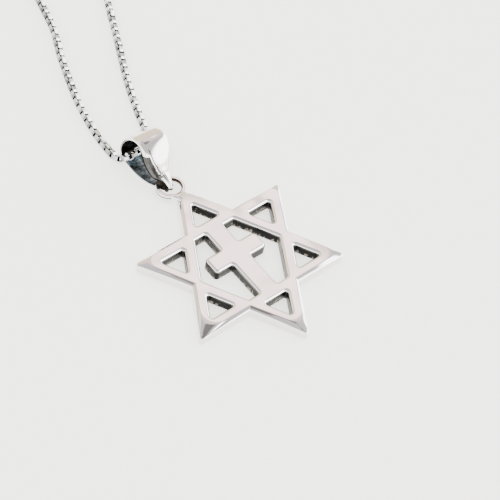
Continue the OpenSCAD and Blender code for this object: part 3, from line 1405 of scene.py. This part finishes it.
    def build(self, silver: bpy.types.Material, dark: bpy.types.Material) -> bpy.types.Object:
        """Makes this half of the chain as one mesh over its node.

        Args:
            silver: finish of the links' outer faces.
            dark: finish of their insides, which is oxide with painted shade.

        Returns:
            The finished piece.
        """
        holder, length = self.curve()
        count = round(length / self.pitch)
        tree = self.tree()
        modifier = holder.modifiers.new("links", "NODES")
        modifier.node_group = tree
        values = {
            "Link Count": count,
            "Link Length": (self.pitch + self.overlap * self.strip_thick) * MM,
            "Link Width": self.width * MM,
            "Strip Thickness": self.strip_thick * MM,
            "Strip Width": self.strip_width * MM,
            "Corner Radius": self.corner_r * MM,
            "First Roll": math.radians(self.lean if self.half is Half.LEFT else self.lean + 90),
            "Seed": self.seed,
            "Silver": silver,
            "Dark Silver": dark,
        }
        for item in tree.interface.items_tree:
            if item.in_out == "INPUT" and item.name in values:
                modifier[item.identifier] = values[item.name]
        evaluated = holder.evaluated_get(bpy.context.evaluated_depsgraph_get())
        mesh = bpy.data.meshes.new_from_object(evaluated)
        name = f"chain_links_{self.half.name.lower()}"
        mesh.name = name
        piece = new_object(name, mesh, ())
        bpy.data.objects.remove(holder)
        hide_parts(f"chain_{self.half.name.lower()}")
        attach(piece, BODY)
        log.info("%s: %d links over %.1f mm", name, count, length)
        return piece


@dataclass
class Clasp:
    """The plain ring clasp with an eyelet at each side."""

    at: Pair = BoxChain.clasp_at
    chain_w: float = BoxChain.width
    ring_r: float = 3.0
    bar_r: float = 0.55
    eyelet_r: float = 0.9
    eyelet_bar_r: float = 0.25
    eyelet_at: float = 3.55
    ring_steps: int = 64
    bar_steps: int = 20

    def ring(self, x: float, z: float, outer_r: float, bar_r: float) -> bpy.types.Object:
        """One round ring lying flat.

        Args:
            x: place of its middle beside the clasp's middle.
            z: height of its middle.
            outer_r: radius over its bar.
            bar_r: radius of its bar.

        Returns:
            The ring as an object.
        """
        section = [polar(360 * k / self.bar_steps, bar_r) for k in range(self.bar_steps)]
        rings = []
        for i in range(self.ring_steps):
            turn = polar(360 * i / self.ring_steps, 1.0)
            ring = []
            for across, up in section:
                out = outer_r - bar_r + across
                ring.append((self.at[0] + x + turn.x * out, self.at[1] + turn.y * out, z + up))
            rings.append(ring)
        bm = bmesh.new()
        skin(bm, rings, closed=True)
        return new_object("clasp_ring", mesh_from(bm, "clasp_ring"), ())

    def build(self, silver: bpy.types.Material) -> bpy.types.Object:
        """Makes the clasp over its node.

        Args:
            silver: its finish.

        Returns:
            The finished piece.
        """
        piece = self.ring(0.0, self.bar_r, self.ring_r, self.bar_r)
        for side in (-1, 1):
            tool = self.ring(side * self.eyelet_at, self.chain_w / 2, self.eyelet_r, self.eyelet_bar_r)
            combine(piece, tool, "UNION")
        piece.data.materials.append(silver)
        for face in piece.data.polygons:
            face.use_smooth = True
        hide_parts("clasp")
        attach(piece, BODY)
        return piece


@dataclass(frozen=True)
class Window:
    """A round patch of the surroundings, with cosines for its rim and for where it is full."""

    toward: Direction
    rim: float
    full: float
    light: Color


@dataclass
class Studio:
    """Table, surroundings and the camera at the photograph's angle."""

    # Camera, with its clipping range in metres
    azimuth: float = -48.47
    elevation: float = 53.6
    roll: float = 12.21
    distance: float = 220.3
    target_height: float = 1.7
    focal_pixels: float = 1800.0
    centre_pixels: Pair = (241.34, 257.63)
    image_pixels: float = 500.0
    sensor: float = 36.0
    clip: Pair = (0.01, 20.0)

    # Table: half its side in metres, and how far it lies below the star in millimetres
    table_half: float = 3.0
    table_drop: float = 0.01

    # The room that polished silver reflects
    low_sky: Color = (5.0, 5.0, 4.9)
    high_sky: Color = (1.0, 0.97, 0.97)
    sky_turns: Pair = (0.3, 0.5)
    sky_strength: float = 1.0
    windows: tuple[Window, ...] = (
        Window((-0.6, 0.8, 0.1), 0.6, 0.85, (2.4, 2.35, 2.2)),
        Window((0.25, 0.95, 0.15), 0.55, 0.85, (1.9, 1.6, 1.15)),
        Window((0.444, 0.393, 0.805), 0.88, 0.998, (1.75, 1.45, 1.4)),
        Window((0.444, 0.393, 0.805), 0.9955, 0.9996, (4.0, 3.15, 3.05)),
        Window((0.11, 0.1, 0.99), 0.975, 0.99, (0.3, 0.28, 0.28)),
        Window((0.8, -0.6, 0.15), 0.62, 0.76, (7.5, 7.5, 7.5)),
    )
    horizon: Color = (0.6, 0.56, 0.52)
    horizon_height: tuple[float, float, float] = (0.26, 0.38, 0.5)
    horizon_toward: Direction = (0.5, 0.75, 0.4)
    horizon_reach: Pair = (0.5, 0.75)

    # Even light on all that isn't a reflection
    near_light: Color = (2.0, 2.0, 1.85)
    far_light: Color = (3.7, 3.7, 3.5)
    far_side: Direction = (0.444, 0.6, 0.5)

    def camera(self) -> None:
        """Sets the camera where the photograph was taken from."""
        az, el, roll = (math.radians(v) for v in (self.azimuth, self.elevation, self.roll))
        back = Vector((math.sin(az) * math.cos(el), -math.cos(az) * math.cos(el), math.sin(el)))
        right = Vector((math.cos(az), math.sin(az), 0.0))
        up = back.cross(right)
        side = right * math.cos(roll) + up * math.sin(roll)
        top = up * math.cos(roll) - right * math.sin(roll)
        data = bpy.data.cameras.new("camera")
        data.sensor_width = self.sensor
        data.lens = self.focal_pixels * self.sensor / self.image_pixels
        data.shift_x = (self.image_pixels / 2 - self.centre_pixels[0]) / self.image_pixels
        data.shift_y = (self.centre_pixels[1] - self.image_pixels / 2) / self.image_pixels
        data.clip_start, data.clip_end = self.clip
        camera = bpy.data.objects.new("camera", data)
        bpy.context.scene.collection.objects.link(camera)
        place = (Vector((0.0, 0.0, self.target_height)) + back * self.distance) * MM
        camera.matrix_world = Matrix.Translation(place) @ Matrix((side, top, back)).transposed().to_4x4()
        bpy.context.scene.camera = camera

    def patch(
        self, sheet: NodeSheet, toward: bpy.types.NodeSocket, direction: Direction, reach: Pair
    ) -> bpy.types.NodeSocket:
        """Round patch of the surroundings.

        Args:
            sheet: the sky's node sheet.
            toward: the direction looked at.
            direction: where the patch's middle is.
            reach: cosines of the angle at its outer rim and where it is full.

        Returns:
            The patch's share, from 0 outside to 1 inside.
        """
        return sheet.ramp(sheet.dot(toward, Vector(direction).normalized()), reach, soft=True)

    def horizon_share(
        self, sheet: NodeSheet, toward: bpy.types.NodeSocket, height: bpy.types.NodeSocket
    ) -> bpy.types.NodeSocket:
        """Grey band across the far side of the room, such as a window's frame.

        Args:
            sheet: the sky's node sheet.
            toward: the direction looked at.
            height: that direction's Z.

        Returns:
            The band's share of the colour there.
        """
        low, middle, high = self.horizon_height
        rise = sheet.ramp(height, (low, middle))
        fall = sheet.ramp(height, (high, middle))
        near = self.patch(sheet, toward, self.horizon_toward, self.horizon_reach)
        return sheet.math("MULTIPLY", sheet.math("MULTIPLY", rise, fall), near)

    def sky(self) -> None:
        """Soft surroundings: an even pale room, with patches that only polished silver shows."""
        world = bpy.data.worlds.new("studio")
        world.use_nodes = True
        bpy.context.scene.world = world
        sheet = NodeSheet(world.node_tree)
        toward = sheet.add("ShaderNodeTexCoord").outputs["Generated"]
        height = sheet.upward(toward)
        color = sheet.mix(sheet.ramp(height, self.sky_turns, soft=True), self.low_sky, self.high_sky)
        color = sheet.mix(self.horizon_share(sheet, toward, height), color, self.horizon)
        for window in self.windows:
            share = self.patch(sheet, toward, window.toward, (window.rim, window.full))
            color = sheet.mix(share, color, window.light)
        glossy = sheet.add("ShaderNodeLightPath").outputs["Is Glossy Ray"]
        far = self.patch(sheet, toward, self.far_side, (-1.0, 1.0))
        seen = sheet.mix(glossy, sheet.mix(far, self.near_light, self.far_light), color)
        background = sheet.add("ShaderNodeBackground", Color=seen, Strength=self.sky_strength)
        sheet.add("ShaderNodeOutputWorld", Surface=background.outputs["Background"])

    def table(self, finish: Finish) -> None:
        """Lays the table under everything.

        Args:
            finish: the table's finish.
        """
        bm = bmesh.new()
        half = self.table_half / MM
        corners = [(-half, -half), (half, -half), (half, half), (-half, half)]
        bm.faces.new([bm.verts.new((x, y, -self.table_drop)) for x, y in corners])
        piece = new_object("table_top", mesh_from(bm, "table_top"), (finish.material(),))
        if piece.data.polygons[0].normal.z < 0:
            piece.data.flip_normals()

    def build(self) -> None:
        """Sets up the whole studio."""
        self.camera()
        self.sky()
        self.table(TableTop())


# The finishes of all pieces, and which of them each piece has in its slots
FINISHES = (
    # The star's upright walls get a little painted shade
    PolishedSilver(side_shade_share=0.88),
    OpeningSilver(),
    # The eye's dark oxide, also used as painted shade under its ring
    MottledSilver(
        name="eye_oxide_and_shade",
        dark=(0.03, 0.022, 0.016),
        pale=(0.12, 0.1, 0.08),
        cloud_scale=1200.0,
    ),
    PolishedSilver(name="bail_silver", light=(0.9, 0.89, 0.87)),
    MottledSilver(name="dull_silver", dark=(0.04, 0.05, 0.06), pale=(0.4, 0.5, 0.56)),
    MottledSilver(
        name="brushed_silver",
        dark=(0.014, 0.0135, 0.013),
        pale=(0.1, 0.097, 0.094),
        cloud_shape=(1.0, 0.25, 0.25),
        roughness=0.3,
    ),
    MottledSilver(name="shaded_silver", dark=(0.004, 0.003, 0.003), pale=(0.05, 0.04, 0.03)),
    # Flat black for lines of painted shade and painted dark reflection, with some oxide
    MottledSilver(
        name="black_oxide_and_shade",
        dark=(0.004, 0.004, 0.004),
        pale=(0.012, 0.011, 0.01),
        roughness=0.9,
        metallic=0.0,
    ),
    # Painted light: a lit copy of the shaded inside, for the foot's inner face
    MottledSilver(
        name="lit_brown_silver",
        dark=(0.02, 0.015, 0.011),
        pale=(0.3, 0.26, 0.22),
        cloud_scale=1900.0,
    ),
    # The links' upright faces get strong painted shade
    PolishedSilver(
        name="chain_silver",
        light=(0.97, 0.99, 0.99),
        tarnish=(0.82, 0.85, 0.85),
        side_shade_share=0.12,
    ),
    # The links' insides: oxide with painted shade
    MottledSilver(
        name="chain_gaps",
        dark=(0.006, 0.006, 0.006),
        pale=(0.05, 0.048, 0.045),
        cloud_scale=900.0,
    ),
)
STAR_FINISHES = ("polished_silver", "opening_silver", "eye_oxide_and_shade")
BAIL_FINISHES = (
    "bail_silver", "dull_silver", "brushed_silver", "shaded_silver", "black_oxide_and_shade", "lit_brown_silver",
)
CHAIN_FINISHES = ("chain_silver", "chain_gaps")


def report(piece: bpy.types.Object) -> None:
    """Logs a piece's name and its number of triangles."""
    triangles = sum(len(face.vertices) - 2 for face in piece.data.polygons)
    log.info("%s: %d triangles", piece.name, triangles)


def main() -> None:
    """Builds the studio, then each sub-assembly in order."""
    logging.basicConfig(level=logging.INFO, format="%(name)s: %(message)s")
    Studio().build()
    made = {finish.name: finish.material() for finish in FINISHES}
    report(Star().build([made[name] for name in STAR_FINISHES]))
    report(Bail().build([made[name] for name in BAIL_FINISHES]))
    for half in Half:
        report(BoxChain(half).build(*(made[name] for name in CHAIN_FINISHES)))
    report(Clasp().build(made["chain_silver"]))


if __name__ == "__main__":
    main()
